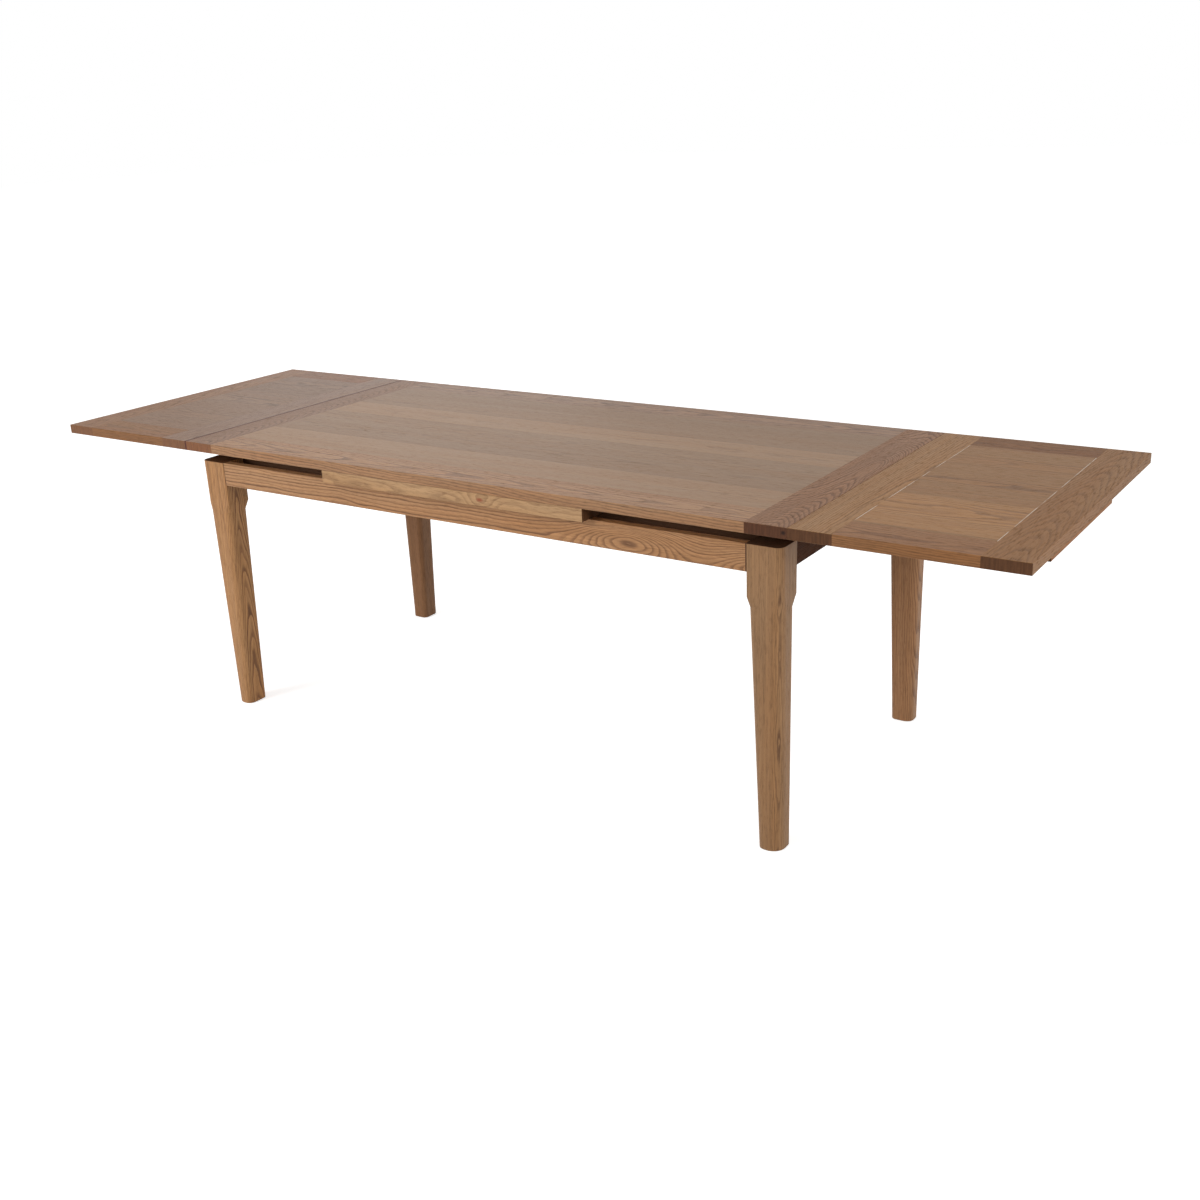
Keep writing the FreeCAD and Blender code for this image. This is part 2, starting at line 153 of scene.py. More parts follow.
    rings = add(tree, "ShaderNodeMath", {0: early, 1: good}, operation="MULTIPLY")

    # open pores as dashes along the grain; some ten times as wide as real ones, so that they show
    spot = add(tree, "ShaderNodeVectorMath", {0: board, 1: (0.04, 0.34, 0.34)}, operation="MULTIPLY")
    dash = add(tree, "ShaderNodeTexNoise", {"Vector": spot, "Scale": 1.0, "Detail": 3.0, "Roughness": 0.7})
    dash = add(tree, "ShaderNodeMapRange", {"Value": dash, "From Min": 0.51, "From Max": 0.62})
    often = add(tree, "ShaderNodeMath", {0: rings, 1: 0.45, 2: 0.55}, operation="MULTIPLY_ADD")
    dash = add(tree, "ShaderNodeMath", {0: dash, 1: often}, operation="MULTIPLY")

    # tone: broad patches, streaks along the grain, and each strip's own shade
    spot = add(tree, "ShaderNodeVectorMath", {0: board, 1: (0.0018, 0.022, 0.022)}, operation="MULTIPLY")
    patch = add(tree, "ShaderNodeTexNoise", {"Vector": spot, "Scale": 1.0, "Detail": 3.0})
    patch = add(tree, "ShaderNodeMapRange", {"Value": patch, "From Min": 0.32, "From Max": 0.68})
    spot = add(tree, "ShaderNodeVectorMath", {0: board, 1: (0.004, 0.17, 0.17)}, operation="MULTIPLY")
    streak = add(tree, "ShaderNodeTexNoise", {"Vector": spot, "Scale": 1.0, "Detail": 3.0, "Roughness": 0.6})
    tint = add(tree, "ShaderNodeMix", {SHARE: patch, LOWER: pale, UPPER: warm},
               data_type="RGBA").node.outputs[MIXED]
    weight = add(tree, "ShaderNodeMath", {0: rings, 1: figure}, operation="MULTIPLY")
    tint = add(tree, "ShaderNodeMix", {SHARE: weight, LOWER: tint, UPPER: dark},
               data_type="RGBA").node.outputs[MIXED]
    weight = add(tree, "ShaderNodeMath", {0: dash, 1: pores}, operation="MULTIPLY")
    tint = add(tree, "ShaderNodeMix", {SHARE: weight, LOWER: tint, UPPER: pore},
               data_type="RGBA").node.outputs[MIXED]
    streak_depth = 0.22 * figure
    shade = add(tree, "ShaderNodeMapRange", {"Value": streak, "From Min": 0.25, "From Max": 0.75,
                                             "To Min": 1 - streak_depth, "To Max": 1 + streak_depth})
    if strip_tone:
        own = add(tree, "ShaderNodeMapRange", {"Value": strip_tone, "To Min": 1 - strips, "To Max": 1 + strips})
        shade = add(tree, "ShaderNodeMath", {0: shade, 1: own}, operation="MULTIPLY")
    tint = add(tree, "ShaderNodeVectorMath", {0: tint, "Scale": shade}, operation="SCALE")

    # end grain drinks more oil and is darker
    facing = add(tree, "ShaderNodeVectorMath", {0: place.outputs["Normal"], 1: along}, operation="DOT_PRODUCT")
    facing = add(tree, "ShaderNodeMath", {0: facing.node.outputs["Value"]}, operation="ABSOLUTE")
    facing = add(tree, "ShaderNodeMapRange", {"Value": facing, "From Min": 0.75, "From Max": 0.98})
    spot = add(tree, "ShaderNodeVectorMath", {0: board, 1: (0.0, 0.2, 0.02)}, operation="MULTIPLY")
    rays = add(tree, "ShaderNodeTexNoise", {"Vector": spot, "Scale": 1.0, "Detail": 3.0, "Roughness": 0.6})
    rays = add(tree, "ShaderNodeMapRange", {"Value": rays, "From Min": 0.3, "From Max": 0.7,
                                            "To Min": 0.75, "To Max": 1.3})
    rays = add(tree, "ShaderNodeVectorMath", {0: ends[:3], "Scale": rays}, operation="SCALE")
    tint = add(tree, "ShaderNodeMix", {SHARE: facing, LOWER: tint, UPPER: rays},
               data_type="RGBA").node.outputs[MIXED]
    for centre, reach, tone in knots:
        # a small knot: a dark eye that fades into the fibres turned round it
        spot = add(tree, "ShaderNodeVectorMath", {0: here, 1: centre}, operation="SUBTRACT")
        spot = add(tree, "ShaderNodeVectorMath", {0: spot, 1: reach}, operation="DIVIDE")
        far = add(tree, "ShaderNodeVectorMath", {0: spot}, operation="LENGTH").node.outputs["Value"]
        far = add(tree, "ShaderNodeMapRange", {"Value": far, "From Min": 0.35, "From Max": 1.0,
                                               "To Min": 1.0, "To Max": 0.0})
        tint = add(tree, "ShaderNodeMix", {SHARE: far, LOWER: tint, UPPER: linear(tone)},
                   data_type="RGBA").node.outputs[MIXED]
    for axis, at, half_width, tone, broken in seams:
        # a line along a joint, unbroken or in stretches of about 70 mm; it serves for dark joints, for painted shade
        # and for painted highlights
        across = add(tree, "ShaderNodeSeparateXYZ", {0: here}).node.outputs[axis]
        line = add(tree, "ShaderNodeMath", {0: across, 1: at, 2: half_width}, operation="COMPARE")
        if broken:
            gaps = add(tree, "ShaderNodeTexNoise", {"Vector": here, "Scale": 14.0, "Detail": 2.0})
            gaps = add(tree, "ShaderNodeMapRange", {"Value": gaps, "From Min": 0.40, "From Max": 0.52})
            line = add(tree, "ShaderNodeMath", {0: line, 1: gaps}, operation="MULTIPLY")
        tint = add(tree, "ShaderNodeMix", {SHARE: line, LOWER: tint, UPPER: linear(tone)},
                   data_type="RGBA").node.outputs[MIXED]
    tree.links.new(tint, shader.inputs["Base Color"])

    pore_roughness, ring_height = 0.2, 0.3
    rough = add(tree, "ShaderNodeMath", {0: dash, 1: pore_roughness, 2: roughness}, operation="MULTIPLY_ADD")
    tree.links.new(rough, shader.inputs["Roughness"])
    height = add(tree, "ShaderNodeMath", {0: rings, 1: ring_height, 2: dash}, operation="MULTIPLY_ADD")
    relief = add(tree, "ShaderNodeBump", {"Strength": 0.35, "Distance": 0.0003, "Height": height}, invert=True)
    tree.links.new(relief, shader.inputs["Normal"])
    shader.inputs["Specular IOR Level"].default_value = gloss
    return material


def finish_with(material, *names):
    """Gives CAD nodes a material."""
    for name in names:
        for slot in nodes[name].material_slots:
            slot.material = material


leg_cuts = {"front_right": dict(colour="#997653", heart=(50.0, 55.0), ring=2.4, slant=0.012, figure=0.9),
            "front_left": dict(colour="#ae8256", heart=(6.0, 58.0), ring=4.0, slant=0.085, figure=1.1),
            "back_right": dict(colour="#9e7653", heart=(8.0, -60.0), ring=4.0, slant=0.05, figure=0.8),
            "back_left": dict(colour="#8b6443", heart=(55.0, -40.0), ring=2.8, slant=0.015, figure=0.5)}
for number, (corner, cut) in enumerate(leg_cuts.items()):
    leg = "leg_" + corner
    finish_with(timber("oiled_oak_" + leg, leg, "Z", seed=1.3 + number, pores=0.5, **cut), leg)

# ---------------------------------------------------------------------------------------------
# Glides: a disc of dark brown felt under each foot, so that the leg slides on a hard floor.
# Pressed from wool, cut out and tacked on. Only its edge shows.
# ---------------------------------------------------------------------------------------------
felt = bpy.data.materials.new("brown_felt")
felt.use_nodes = True
shader = felt.node_tree.nodes["Principled BSDF"]
place = add(felt.node_tree, "ShaderNodeTexCoord").node.outputs["Object"]
# matted fibres about 1 mm across give a soft speckle and no shine
fibres = add(felt.node_tree, "ShaderNodeTexNoise", {"Vector": place, "Scale": 900.0, "Detail": 3.0})
shade = add(felt.node_tree, "ShaderNodeMix", {SHARE: fibres, LOWER: linear("#2b2420"), UPPER: linear("#4a4038")},
            data_type="RGBA").node.outputs[MIXED]
felt.node_tree.links.new(shade, shader.inputs["Base Color"])
shader.inputs["Roughness"].default_value = 0.95
finish_with(felt, *["glide_" + corner for corner in leg_cuts])

# ---------------------------------------------------------------------------------------------
# Aprons: four oak rails tenoned into the leg heads. The end ones are notched for the bearers, and
# the saw grazed a ring on the side ones, so that their straight grain closes to an oval.
# ---------------------------------------------------------------------------------------------
leg_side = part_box("leg_front_right")[0].x
shoulder_inset, shoulder_half_width = 0.0008, 0.0011
shoulders = [(0, side * (leg_side - shoulder_inset), shoulder_half_width, "#553722", False) for side in (1, -1)]
finish_with(timber("oiled_oak_front_apron", "side_apron_front", "X", heart=(-60.0, 56.0), ring=5.4, slant=0.003,
                   seed=5.1, colour="#a9805a", figure=0.95, seams=shoulders,
                   islands=[((0.498, -0.419, 0.684), (0.13, 0.042), -52.0),
                            ((0.82, -0.419, 0.668), (0.09, 0.04), -34.0)]), "side_apron_front")
finish_with(timber("oiled_oak_back_apron", "side_apron_back", "X", heart=(60.0, 56.0), ring=4.6, slant=0.003,
                   seed=6.2, colour="#a77c55", figure=0.9, seams=shoulders,
                   islands=[((-0.31, 0.419, 0.69), (0.14, 0.042), -52.0)]), "side_apron_back")
# painted shade: the end aprons are coloured far darker than the side aprons, the right one darkest, for the shade
# under the leaves
for number, (side, colour) in enumerate((("right", "#51311b"), ("left", "#5f3f26"))):
    finish_with(timber("oiled_oak_end_apron_" + side, "end_apron_" + side, "Y", heart=(10.0, 66.0), ring=3.4,
                       slant=0.02, seed=7.4 + number, colour=colour, gloss=0.02), "end_apron_" + side)

# ---------------------------------------------------------------------------------------------
# Corner blocks: beech, planed and left bare, glued across each corner and drawn to the leg by a
# zinc plated steel bolt with a washer and a nut, its thread standing past the nut.
# ---------------------------------------------------------------------------------------------


def beech(piece, grain, seed):
    """Gives a hidden piece planed beech, finer and plainer than the oak, almost no shine; painted shade darkens it
    to dark brown.
    """
    finish_with(timber("planed_beech_" + piece, piece, grain, heart=(30.0, 70.0), ring=2.6, slant=0.02, seed=seed,
                       colour="#583f2e", figure=0.35, pores=0.3, gloss=0.08, roughness=0.6), piece)


for number, corner in enumerate(leg_cuts):
    beech("corner_block_" + corner, "X", 11.0 + number)

zinc = bpy.data.materials.new("zinc_plated_steel")
zinc.use_nodes = True
shader = zinc.node_tree.nodes["Principled BSDF"]
place = add(zinc.node_tree, "ShaderNodeTexCoord").node.outputs["Object"]
# the plating's cloudy bloom, about 2 mm across, gives a dull grey shine that changes from place to place
bloom = add(zinc.node_tree, "ShaderNodeTexNoise", {"Vector": place, "Scale": 400.0, "Detail": 3.0})
shade = add(zinc.node_tree, "ShaderNodeMix", {SHARE: bloom, LOWER: linear("#9a9a98"), UPPER: linear("#c8c6c0")},
            data_type="RGBA").node.outputs[MIXED]
zinc.node_tree.links.new(shade, shader.inputs["Base Color"])
rough = add(zinc.node_tree, "ShaderNodeMapRange", {"Value": bloom, "To Min": 0.25, "To Max": 0.45})
zinc.node_tree.links.new(rough, shader.inputs["Roughness"])
shader.inputs["Metallic"].default_value = 1.0

bolt_sizes = {"Shank width": 0.008, "Shank length": 0.068, "Shank past block": 0.012, "Washer width": 0.022,
              "Washer thickness": 0.0016, "Nut width": 0.013, "Nut thickness": 0.0065, "Thread pitch": 0.00125}
flats_to_corners, turned_down, ridge_share = 1 / math.sqrt(3), 1.02, 0.3
tree = bpy.data.node_groups.new("corner_bolts", "GeometryNodeTree")
tree.interface.new_socket("Places", in_out="INPUT", socket_type="NodeSocketGeometry")
sockets = {label: tree.interface.new_socket(label, in_out="INPUT", socket_type="NodeSocketFloat")
           for label in bolt_sizes}
tree.interface.new_socket("Bolts", in_out="OUTPUT", socket_type="NodeSocketGeometry")
given = add(tree, "NodeGroupInput").node.outputs
half = {label: add(tree, "ShaderNodeMath", {0: given[label], 1: 0.5}, operation="MULTIPLY") for label in bolt_sizes}
shank = add(tree, "GeometryNodeMeshCylinder", {"Vertices": 24, "Radius": half["Shank width"],
                                               "Depth": given["Shank length"]})
shank_up = add(tree, "ShaderNodeMath", {0: given["Shank past block"], 1: half["Shank length"]},
               operation="SUBTRACT")
shank_up = add(tree, "ShaderNodeCombineXYZ", {2: shank_up})
shank = add(tree, "GeometryNodeTransform", {"Geometry": shank, "Translation": shank_up})
washer = add(tree, "GeometryNodeMeshCylinder", {"Vertices": 48, "Radius": half["Washer width"],
                                                "Depth": given["Washer thickness"]})
washer_up = add(tree, "ShaderNodeCombineXYZ", {2: half["Washer thickness"]})
washer = add(tree, "GeometryNodeTransform", {"Geometry": washer, "Translation": washer_up})
corner_radius = add(tree, "ShaderNodeMath", {0: given["Nut width"], 1: flats_to_corners}, operation="MULTIPLY")
nut = add(tree, "GeometryNodeMeshCylinder", {"Vertices": 6, "Radius": corner_radius,
                                             "Depth": given["Nut thickness"]})
# the nut's corners are turned down by a ball a little wider than they are
ball_radius = add(tree, "ShaderNodeMath", {0: corner_radius, 1: turned_down}, operation="MULTIPLY")
ball = add(tree, "GeometryNodeMeshUVSphere", {"Segments": 32, "Rings": 24, "Radius": ball_radius})
nut = add(tree, "GeometryNodeMeshBoolean", {"Mesh 2": nut}, operation="INTERSECT")
tree.links.new(ball, nut.node.inputs["Mesh 2"])
nut_up = add(tree, "ShaderNodeMath", {0: given["Washer thickness"], 1: half["Nut thickness"]})
nut_up = add(tree, "ShaderNodeCombineXYZ", {2: nut_up})
nut = add(tree, "GeometryNodeTransform", {"Geometry": nut, "Translation": nut_up})
nut_top = add(tree, "ShaderNodeMath", {0: given["Washer thickness"], 1: given["Nut thickness"]})
bare = add(tree, "ShaderNodeMath", {0: given["Shank past block"], 1: nut_top}, operation="SUBTRACT")
turns = add(tree, "ShaderNodeMath", {0: bare, 1: given["Thread pitch"]}, operation="DIVIDE")
helix = add(tree, "GeometryNodeCurveSpiral", {
    "Resolution": 24, "Rotations": turns, "Start Radius": half["Shank width"],
    "End Radius": half["Shank width"], "Height": bare})
ridge_radius = add(tree, "ShaderNodeMath", {0: given["Thread pitch"], 1: ridge_share}, operation="MULTIPLY")
ridge = add(tree, "GeometryNodeCurvePrimitiveCircle", {"Resolution": 4, "Radius": ridge_radius})
thread = add(tree, "GeometryNodeCurveToMesh", {"Curve": helix, "Profile Curve": ridge, "Fill Caps": True})
thread_up = add(tree, "ShaderNodeCombineXYZ", {2: nut_top})
thread = add(tree, "GeometryNodeTransform", {"Geometry": thread, "Translation": thread_up})
bolt = add(tree, "GeometryNodeJoinGeometry")
for part in (shank, washer, nut, thread):
    tree.links.new(part, bolt.node.inputs[0])
aim = add(tree, "GeometryNodeInputNamedAttribute", {"Name": "aim"}, data_type="FLOAT_VECTOR")
turned = add(tree, "FunctionNodeAlignRotationToVector", {"Vector": aim}, axis="Z")
bolts = add(tree, "GeometryNodeInstanceOnPoints", {"Points": given["Places"], "Instance": bolt, "Rotation": turned})
bolts = add(tree, "GeometryNodeRealizeInstances", {0: bolts})
bolts = add(tree, "GeometryNodeSetMaterial", {"Geometry": bolts, "Material": zinc})
add(tree, "NodeGroupOutput", {0: bolts})

block_depth = 0.026  # from the leg's inner corner to the face that the washer sits on
seats, aims = [], []
for corner in leg_cuts:
    low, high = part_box("leg_" + corner)
    block_low, block_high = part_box("corner_block_" + corner)
    sx, sy = (1 if "right" in corner else -1), (1 if "back" in corner else -1)
    aims.append(Vector((-sx, -sy, 0)).normalized())
    inner_corner = Vector((low.x if sx > 0 else high.x, low.y if sy > 0 else high.y,
                           (block_low.z + block_high.z) / 2))
    seats.append(inner_corner + aims[-1] * block_depth)


def fasten(name, tree, sockets, sizes, seats, aims, body, replaced):
    """Sets a fastening at each seat, as one plain mesh that rides on a body and stands for CAD nodes."""
    mesh = bpy.data.meshes.new(name + "_seats")
    mesh.from_pydata(seats, [], [])
    aim_values = mesh.attributes.new("aim", "FLOAT_VECTOR", "POINT").data
    aim_values.foreach_set("vector", [value for aim in aims for value in aim])
    holder = bpy.data.objects.new(name + "_seats", mesh)
    bpy.context.scene.collection.objects.link(holder)
    modifier = holder.modifiers.new(name, "NODES")
    modifier.node_group = tree
    for label, size in sizes.items():
        modifier[sockets[label].identifier] = size
    made = bpy.data.meshes.new_from_object(holder.evaluated_get(bpy.context.evaluated_depsgraph_get()))
    holder.modifiers.clear()
    bpy.data.objects.remove(holder)
    piece = bpy.data.objects.new(name, made)
    bpy.context.scene.collection.objects.link(piece)
    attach(piece, body)
    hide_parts(*replaced)


fasten("corner_bolts", tree, sockets, bolt_sizes, seats, aims, "underframe",
       ["corner_bolt_" + corner for corner in leg_cuts])

# ---------------------------------------------------------------------------------------------
# Guide rails, runners and cross ties inside the frame, and the guide pegs of the main top: beech,
# planed and bare, glued and pegged in place. Painted shade darkens them to the dark brown of the slots.
# ---------------------------------------------------------------------------------------------
hidden = sorted(name for name in nodes if name.startswith(("guide_", "cross_tie", "runner")))
for number, name in enumerate(hidden):
    beech(name, "Z" if "peg" in name else "X" if "runner" in name else "Y", 15.0 + number * 0.7)

# ---------------------------------------------------------------------------------------------
# Spacer rails: two oak rails glued on the side aprons, flush with the long edges of the top. Planed
# and oiled; the front one has flamed figure and a small red knot.
# ---------------------------------------------------------------------------------------------
red_knot_place = (0.108, -0.445, 0.735)
red_knot = (red_knot_place, (0.013, 0.012, 0.006), "#8a4c30")
for number, (side, knots) in enumerate((("front", [red_knot]), ("back", []))):
    finish_with(timber("oiled_oak_spacer_" + side, "spacer_rail_" + side, "X", heart=(-38.0, 10.0), ring=3.6,
                       slant=0.01, seed=31.0 + number, colour="#ad8a64", figure=0.55, knots=knots,
                       islands=[(red_knot_place, (0.05, 0.02), 10.0)]), "spacer_rail_" + side)

# ---------------------------------------------------------------------------------------------
# Main top: two cross rails right through to the long edges, two side rails between them and a
# panel of oak strips tongued into the rails. Oiled, with a soft sheen.
# ---------------------------------------------------------------------------------------------
# the panel's seed was searched for, so that the strips run light and dark in the photograph's order
finish_with(timber("oiled_oak_top_panel", "top_panel", "X", heart=(-20.0, 15.0), ring=3.4, slant=0.004, seed=37.35,
                   colour="#896c50", planks=115.7, strips=0.17, figure=0.3, pores=0.12, gloss=0.38), "top_panel")
for number, (side, colour) in enumerate((("front", "#99724e"), ("back", "#876951"))):
    finish_with(timber("oiled_oak_top_side_rail_" + side, "top_side_rail_" + side, "X", heart=(8.0, 44.0), ring=5.2,
                       slant=0.03, seed=42.3 + number, colour=colour, figure=0.8, pores=0.6, gloss=0.38),
                "top_side_rail_" + side)
dark_knot = ((0.892, -0.445, 0.763), (0.007, 0.005, 0.006), "#26150e")
end_rail_cuts = {"right": dict(colour="#8e6c53", end="#4e301f", figure=0.85, gloss=0.12, knots=[dark_knot]),
                 "left": dict(colour="#7f5f47", end="#704526", figure=0.6, gloss=0.26)}
arches = [((0.84, -0.22, 0.775), (0.14, 0.03), 17.0), ((0.87, 0.1, 0.775), (0.1, 0.04), -22.0),
          ((0.85, 0.34, 0.775), (0.09, 0.03), 15.0)]
for number, (side, cut) in enumerate(end_rail_cuts.items()):
    finish_with(timber("oiled_oak_top_end_rail_" + side, "top_end_rail_" + side, "Y", heart=(8.0, 46.0), ring=4.0,
                       slant=0.15, seed=45.3 + number, islands=arches, **cut), "top_end_rail_" + side)

# ---------------------------------------------------------------------------------------------
# Leaves: framed like the main top, one drawn out at each end, with a pull batten under the outer
# edge. Each has boards of its own shade: the right one is warm, the left one browner and glossier.
# ---------------------------------------------------------------------------------------------
leaf_boards = {
    "right": dict(panel="#91693d", front="#8b6340", back="#764e27", inner="#997551", outer="#8c6744", pull="#926338",
                  end="#523521", panel_gloss=0.28, short_gloss=0.18, rail_gloss=0.12, strips=0.17),
    "left": dict(panel="#795c43", front="#7a5020", back="#74481c", inner="#846a58", outer="#846042", pull="#845d3d",
                 end="#694326", panel_gloss=0.38, short_gloss=0.38, rail_gloss=0.26, strips=0.05)}
joint_inset, painted_glint_half_width, painted_lip_inset, painted_lip_half_width = 0.001, 0.0006, 0.0014, 0.004
for number, (side, board) in enumerate(leaf_boards.items()):
    leaf = side + "_leaf_"
    inner_high, outer_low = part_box(leaf + "inner_rail")[1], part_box(leaf + "outer_rail")[0]
    # painted highlights: pale lines where the right panel's edges would catch the light;
    # painted shade: a dark band where the left leaf stands a little proud of the top
    painted_glints, painted_lip_shade = [], []
    if side == "right":
        painted_glints = [(0, at, painted_glint_half_width, "#cdc3b6", True)
                  for at in (inner_high.x + joint_inset, outer_low.x - joint_inset)]
    else:
        painted_lip_shade = [(0, inner_high.x - painted_lip_inset, painted_lip_half_width, "#43180b", False)]
    # the right panel's seed was searched for too, so that its light plank lies in front
    finish_with(timber("oiled_oak_" + leaf + "panel", leaf + "panel", "X", heart=(105.0, 90.0), ring=4.2, slant=0.01,
                       seed=61.3 + number, colour=board["panel"], planks=231.0, strips=board["strips"], figure=0.6,
                       pores=0.35, gloss=board["panel_gloss"], seams=painted_glints), leaf + "panel")
    for step, rail in enumerate(("short_rail_a", "short_rail_b")):
        colour = board["front"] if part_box(leaf + rail)[0].y < 0 else board["back"]
        finish_with(timber("oiled_oak_" + leaf + rail, leaf + rail, "X", heart=(15.0, 70.0), ring=4.2, slant=0.02,
                           seed=53.0 + number * 5 + step, colour=colour, figure=0.6, gloss=board["short_gloss"]),
                    leaf + rail)
    rail_cuts = {"inner_rail": dict(colour=board["inner"], heart=(52.0, 44.0), slant=0.012, figure=0.6, seams=painted_lip_shade),
                 "outer_rail": dict(colour=board["outer"], heart=(6.0, 48.0), slant=0.07, figure=0.45),
                 "pull": dict(colour=board["pull"], heart=(52.0, 44.0), slant=0.012, figure=0.6)}
    for step, (rail, cut) in enumerate(rail_cuts.items()):
        finish_with(timber("oiled_oak_" + leaf + rail, leaf + rail, "Y", ring=4.6, seed=63.0 + number * 5 + step,
                           end=board["end"], gloss=board["rail_gloss"], **cut), leaf + rail)

# ---------------------------------------------------------------------------------------------
# Bearers and stops: beech bars that carry the leaves on the guides, with a stop block glued under
# each. Zinc plated pan head screws in counterbores hold the bearers to the leaves.
# ---------------------------------------------------------------------------------------------
for number, name in enumerate(sorted(name for name in nodes if "bearer" in name or "stop" in name)):
    beech(name, "X", 81.0 + number * 0.7)

screw_sizes = {"Head width": 0.0086, "Rim": 0.0012, "Crown": 0.0018, "Shank width": 0.0045, "Shank length": 0.022,
               "Slot length": 0.005, "Slot width": 0.0009}
crown_share = 0.995  # the crown's width beside the rim's, so that their faces don't meet
tree = bpy.data.node_groups.new("bearer_screws", "GeometryNodeTree")
tree.interface.new_socket("Places", in_out="INPUT", socket_type="NodeSocketGeometry")
sockets = {label: tree.interface.new_socket(label, in_out="INPUT", socket_type="NodeSocketFloat")
           for label in screw_sizes}
tree.interface.new_socket("Screws", in_out="OUTPUT", socket_type="NodeSocketGeometry")
given = add(tree, "NodeGroupInput").node.outputs
half = {label: add(tree, "ShaderNodeMath", {0: given[label], 1: 0.5}, operation="MULTIPLY") for label in screw_sizes}
rim = add(tree, "GeometryNodeMeshCylinder", {"Vertices": 32, "Radius": half["Head width"], "Depth": given["Rim"]})
rim_down = add(tree, "ShaderNodeMath", {0: given["Rim"], 1: -0.5}, operation="MULTIPLY")
rim_down = add(tree, "ShaderNodeCombineXYZ", {2: rim_down})
rim = add(tree, "GeometryNodeTransform", {"Geometry": rim, "Translation": rim_down})
flatten = add(tree, "ShaderNodeMath", {0: given["Crown"], 1: half["Head width"]}, operation="DIVIDE")
crown = add(tree, "GeometryNodeMeshUVSphere", {"Segments": 32, "Rings": 16, "Radius": half["Head width"]})
under_rim = add(tree, "ShaderNodeMath", {0: given["Rim"], 1: -1.0}, operation="MULTIPLY")
crown = add(tree, "GeometryNodeTransform", {
    "Geometry": crown, "Translation": add(tree, "ShaderNodeCombineXYZ", {2: under_rim}),
    "Scale": add(tree, "ShaderNodeCombineXYZ", {0: crown_share, 1: crown_share, 2: flatten})})
slot_down = add(tree, "ShaderNodeMath", {0: under_rim, 1: given["Crown"]}, operation="SUBTRACT")
slot_down = add(tree, "ShaderNodeCombineXYZ", {2: slot_down})
arm_size = add(tree, "ShaderNodeCombineXYZ", {0: given["Slot length"], 1: given["Slot width"], 2: given["Crown"]})
arm = add(tree, "GeometryNodeMeshCube", {"Size": arm_size})
other = add(tree, "GeometryNodeTransform", {"Geometry": arm, "Rotation": (0, 0, math.pi / 2)})
cross = add(tree, "GeometryNodeMeshBoolean", operation="UNION")
for part in (arm, other):
    tree.links.new(part, cross.node.inputs["Mesh 2"])
cross = add(tree, "GeometryNodeTransform", {"Geometry": cross, "Translation": slot_down})
crown = add(tree, "GeometryNodeMeshBoolean", {"Mesh 1": crown, "Mesh 2": cross}, operation="DIFFERENCE")
shank = add(tree, "GeometryNodeMeshCylinder", {"Vertices": 16, "Radius": half["Shank width"],
                                               "Depth": given["Shank length"]})
shank_up = add(tree, "ShaderNodeCombineXYZ", {2: half["Shank length"]})
shank = add(tree, "GeometryNodeTransform", {"Geometry": shank, "Translation": shank_up})
screw = add(tree, "GeometryNodeJoinGeometry")
for part in (rim, crown, shank):
    tree.links.new(part, screw.node.inputs[0])
screws = add(tree, "GeometryNodeInstanceOnPoints", {"Points": given["Places"], "Instance": screw})
screws = add(tree, "GeometryNodeRealizeInstances", {0: screws})
screws = add(tree, "GeometryNodeSetMaterial", {"Geometry": screws, "Material": zinc})
add(tree, "NodeGroupOutput", {0: screws})

screws_in_row = 3
rim_radius, head_height = screw_sizes["Head width"] / 2, screw_sizes["Rim"] + screw_sizes["Crown"]
for side in leaf_boards:
    low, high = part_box(side + "_leaf_screws")
    first, step = low.x + rim_radius, (high.x - low.x - 2 * rim_radius) / (screws_in_row - 1)
    seats = [(first + step * index, row, low.z + head_height)
             for index in range(screws_in_row) for row in (low.y + rim_radius, high.y - rim_radius)]
    fasten(side + "_leaf_screw_set", tree, sockets, screw_sizes, seats, [(0, 0, 1)] * len(seats), side + "_leaf",
           [side + "_leaf_screws"])

# ---------------------------------------------------------------------------------------------
# Studio: a wide floor of white paper and a white surround, matt and plain, that the eye and shiny
# faces see as white. Soft light falls from the front left, the right, behind and above.
# ---------------------------------------------------------------------------------------------


def seen_rays(tree):
    """1 for what the camera, a shiny face or glass sees, 0 for what lights the object."""
    rays = add(tree, "ShaderNodeLightPath").node.outputs
    seen = add(tree, "ShaderNodeMath", {0: rays["Is Camera Ray"], 1: rays["Is Glossy Ray"]}, operation="MAXIMUM")
    return add(tree, "ShaderNodeMath", {0: seen, 1: rays["Is Transmission Ray"]}, operation="MAXIMUM")


floor_half, floor_lift = 30.0, 0.65
surround_light, surround_seen = 0.4, 1.0
floor_mesh = bpy.data.meshes.new("floor")
floor_mesh.from_pydata([(-floor_half, -floor_half, 0), (floor_half, -floor_half, 0), (floor_half, floor_half, 0),
                        (-floor_half, floor_half, 0)], [], [(0, 1, 2, 3)])
floor = bpy.data.objects.new("floor", floor_mesh)
bpy.context.scene.collection.objects.link(floor)
paper = bpy.data.materials.new("white_studio_paper")
paper.use_nodes = True
tree = paper.node_tree
shader = tree.nodes["Principled BSDF"]
# matt paper with no shine, lifted to white where it is seen, so that only the shadow shows on it
shader.inputs["Base Color"].default_value = linear("#f4f4f4")
shader.inputs["Roughness"].default_value = 0.9
shader.inputs["Specular IOR Level"].default_value = 0.0
lift = add(tree, "ShaderNodeMath", {0: seen_rays(tree), 1: floor_lift}, operation="MULTIPLY")
shader.inputs["Emission Color"].default_value = (1, 1, 1, 1)
tree.links.new(lift, shader.inputs["Emission Strength"])
floor_mesh.materials.append(paper)

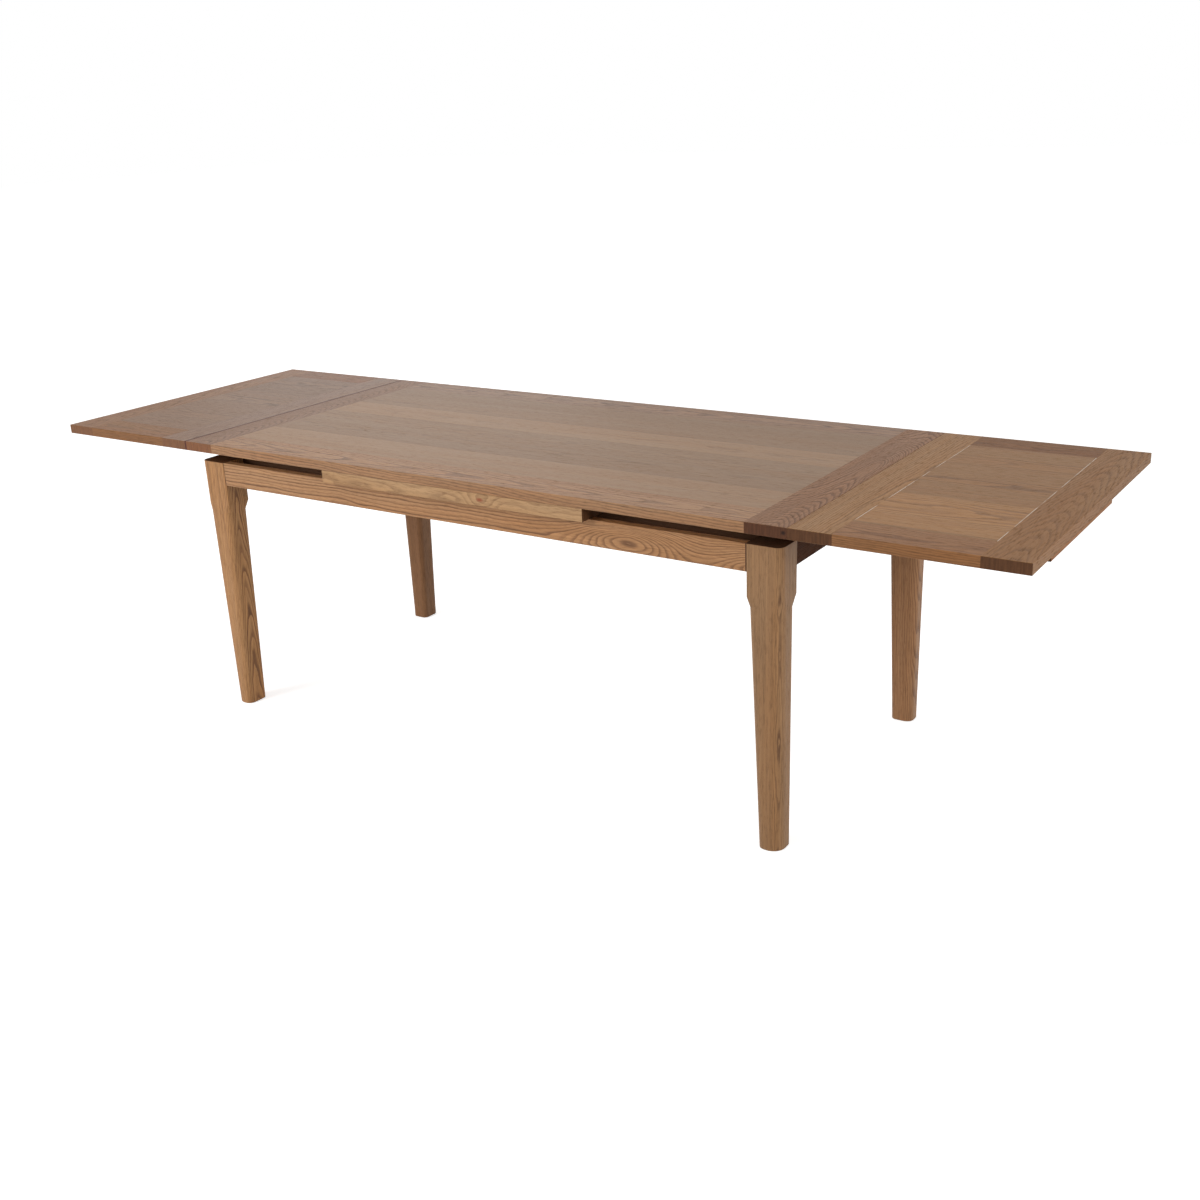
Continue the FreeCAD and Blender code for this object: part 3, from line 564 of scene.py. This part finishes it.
world = bpy.data.worlds.new("white_surround")
bpy.context.scene.world = world
world.use_nodes = True
tree = world.node_tree
background = tree.nodes["Background"]
strength = add(tree, "ShaderNodeMapRange", {"Value": seen_rays(tree), "To Min": surround_light,
                                            "To Max": surround_seen})
background.inputs["Color"].default_value = (1, 1, 1, 1)
tree.links.new(strength, background.inputs["Strength"])


def softbox(name, place, aim, width, height, watts):
    """Hangs a soft rectangular lamp at a place, turned to its aim."""
    lamp = bpy.data.lights.new(name, "AREA")
    lamp.shape = "RECTANGLE"
    lamp.size, lamp.size_y, lamp.energy = width, height, watts
    holder = bpy.data.objects.new(name, lamp)
    bpy.context.scene.collection.objects.link(holder)
    holder.location = place
    holder.rotation_euler = (Vector(aim) - Vector(place)).to_track_quat("-Z", "Y").to_euler()


softbox("key_softbox", (-2.6, -4.2, 2.6), (-0.2, -0.2, 0.6), 2.4, 2.0, 150)
softbox("side_softbox", (4.2, -1.4, 2.0), (0.6, -0.2, 0.4), 1.8, 1.0, 58)
softbox("back_softbox", (-4.2, 4.2, 1.6), (-0.9, 0.3, 0.75), 2.6, 1.8, 17)
softbox("top_softbox", (-0.5, 0.5, 3.6), (0, 0, 0.7), 3.0, 2.0, 30)

# ---------------------------------------------------------------------------------------------
# Camera: stands where the photograph was taken, front right and above the top, and leans a little.
# The place, the lens and the lean come from a fit to the corners of the table.
# ---------------------------------------------------------------------------------------------
target, distance = Vector((0.23205, -0.14796, 0.40907)), 3.4999
azimuth, elevation, roll = (math.radians(angle) for angle in (34.44, 20.19, -2.56))
back = Vector((math.sin(azimuth) * math.cos(elevation), -math.cos(azimuth) * math.cos(elevation),
               math.sin(elevation)))
right = (-back).cross(Vector((0, 0, 1))).normalized()
up = right.cross(-back)
right, up = right * math.cos(roll) + up * math.sin(roll), up * math.cos(roll) - right * math.sin(roll)
lens = bpy.data.cameras.new("camera")
lens.sensor_width = 36.0
lens.lens = 41.48
camera = bpy.data.objects.new("camera", lens)
bpy.context.scene.collection.objects.link(camera)
camera.matrix_world = Matrix.Translation(target + back * distance) @ Matrix((right, up, back)).transposed().to_4x4()
bpy.context.scene.camera = camera
bpy.context.scene.view_settings.view_transform = "Standard"
